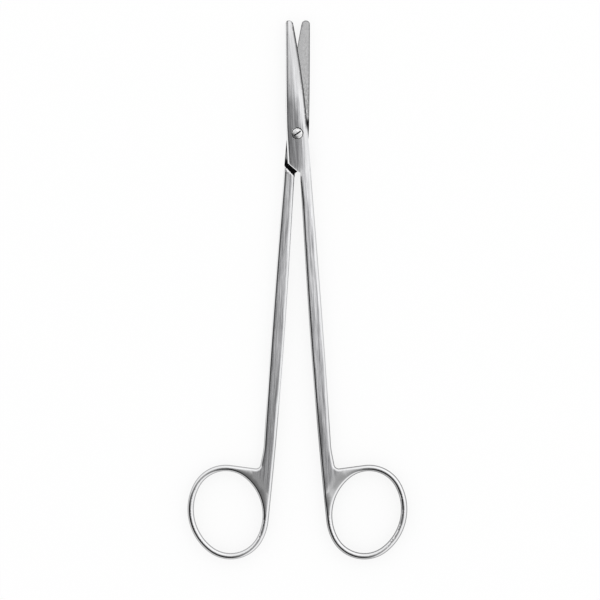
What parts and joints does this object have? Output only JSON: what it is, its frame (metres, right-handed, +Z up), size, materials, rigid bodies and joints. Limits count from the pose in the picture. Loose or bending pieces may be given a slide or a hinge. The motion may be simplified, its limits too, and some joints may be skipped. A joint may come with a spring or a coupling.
{
  "type": "dissecting scissors",
  "caption": "Long slim steel dissecting scissors with straight blunt-nosed blades, long shanks and oval finger rings, turning on a slotted screw.",
  "frame": {"origin": "on the pivot axis, at the underside of the joint, where the pair lies on a flat surface", "axes": "+Y towards the blade tips midway between the two blades, +X to the right seen from above, +Z up along the pivot axis out of the screw's head"},
  "size_m": [0.0732, 0.1796, 0.0046],
  "materials": {
    "satin_steel": "satin brushed",
    "screw_steel": "turned, bright"
  },
  "bodies": {
    "lower": {"lower_half": "satin_steel", "pivot_screw": "screw_steel"},
    "upper": {"upper_half": "satin_steel"}
  },
  "joints": [
    {"name": "pivot", "type": "hinge", "parent": "lower", "child": "upper", "pos_m": [0, 0, 0.0022], "axis": [0, 0, 1], "range_deg": [-6.7, 85]}
  ]
}
